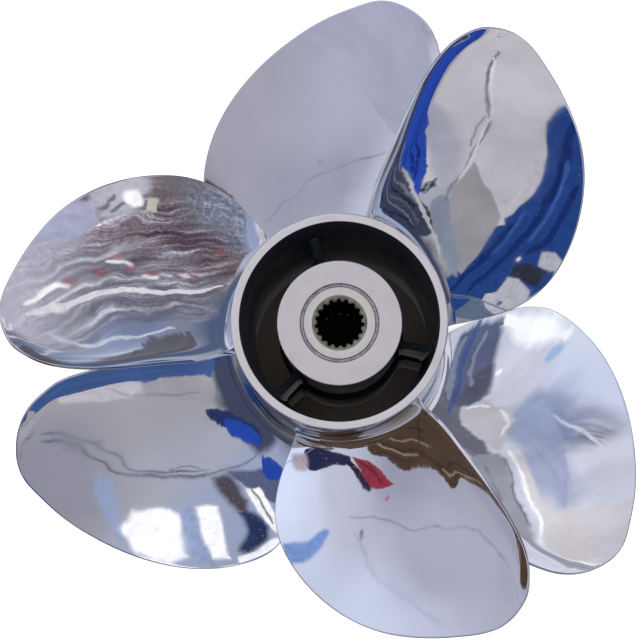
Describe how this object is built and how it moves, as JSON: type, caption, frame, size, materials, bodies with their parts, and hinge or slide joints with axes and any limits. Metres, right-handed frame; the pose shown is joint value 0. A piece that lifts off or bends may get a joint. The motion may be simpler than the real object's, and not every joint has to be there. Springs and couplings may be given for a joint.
{
  "type": "contra-rotating boat propeller pair",
  "caption": "Polished steel contra-rotating boat propeller pair: two coaxial three-bladed wheels on open exhaust hubs with splined sleeves.",
  "frame": {"origin": "on the shaft axis, at the fore end face of the forward hub, which is the face the pair stands on", "axes": "+Z along the shaft axis, pointing aft (up, as the pair stands); +X to the right and +Y up in the picture, which looks at the aft end"},
  "size_m": [0.3518, 0.355, 0.2367],
  "materials": {
    "polished_stainless": "mirror polished",
    "turned_steel": "satin turned",
    "greased_steel": "oily machined",
    "dark_steel": "dark, unpolished",
    "bushing_rubber": "matt"
  },
  "bodies": {
    "forward_propeller": {"forward_hub_barrel": "polished_stainless", "forward_hub_boss": "turned_steel", "forward_hub_rib_1": "dark_steel", "forward_hub_rib_2": "dark_steel", "forward_hub_rib_3": "dark_steel", "forward_splined_sleeve": "greased_steel", "forward_hub_bushing": "bushing_rubber", "forward_blade_1": "polished_stainless", "forward_blade_2": "polished_stainless", "forward_blade_3": "polished_stainless"},
    "aft_propeller": {"aft_hub_barrel": "polished_stainless", "aft_hub_boss": "turned_steel", "aft_hub_rib_1": "dark_steel", "aft_hub_rib_2": "dark_steel", "aft_hub_rib_3": "dark_steel", "aft_splined_sleeve": "greased_steel", "aft_hub_bushing": "bushing_rubber", "aft_blade_1": "polished_stainless", "aft_blade_2": "polished_stainless", "aft_blade_3": "polished_stainless"}
  },
  "joints": [
    {"name": "aft_propeller_spin", "type": "hinge", "parent": "forward_propeller", "child": "aft_propeller", "pos_m": [0, 0, 0.228], "axis": [0, 0, 1], "continuous": true}
  ]
}
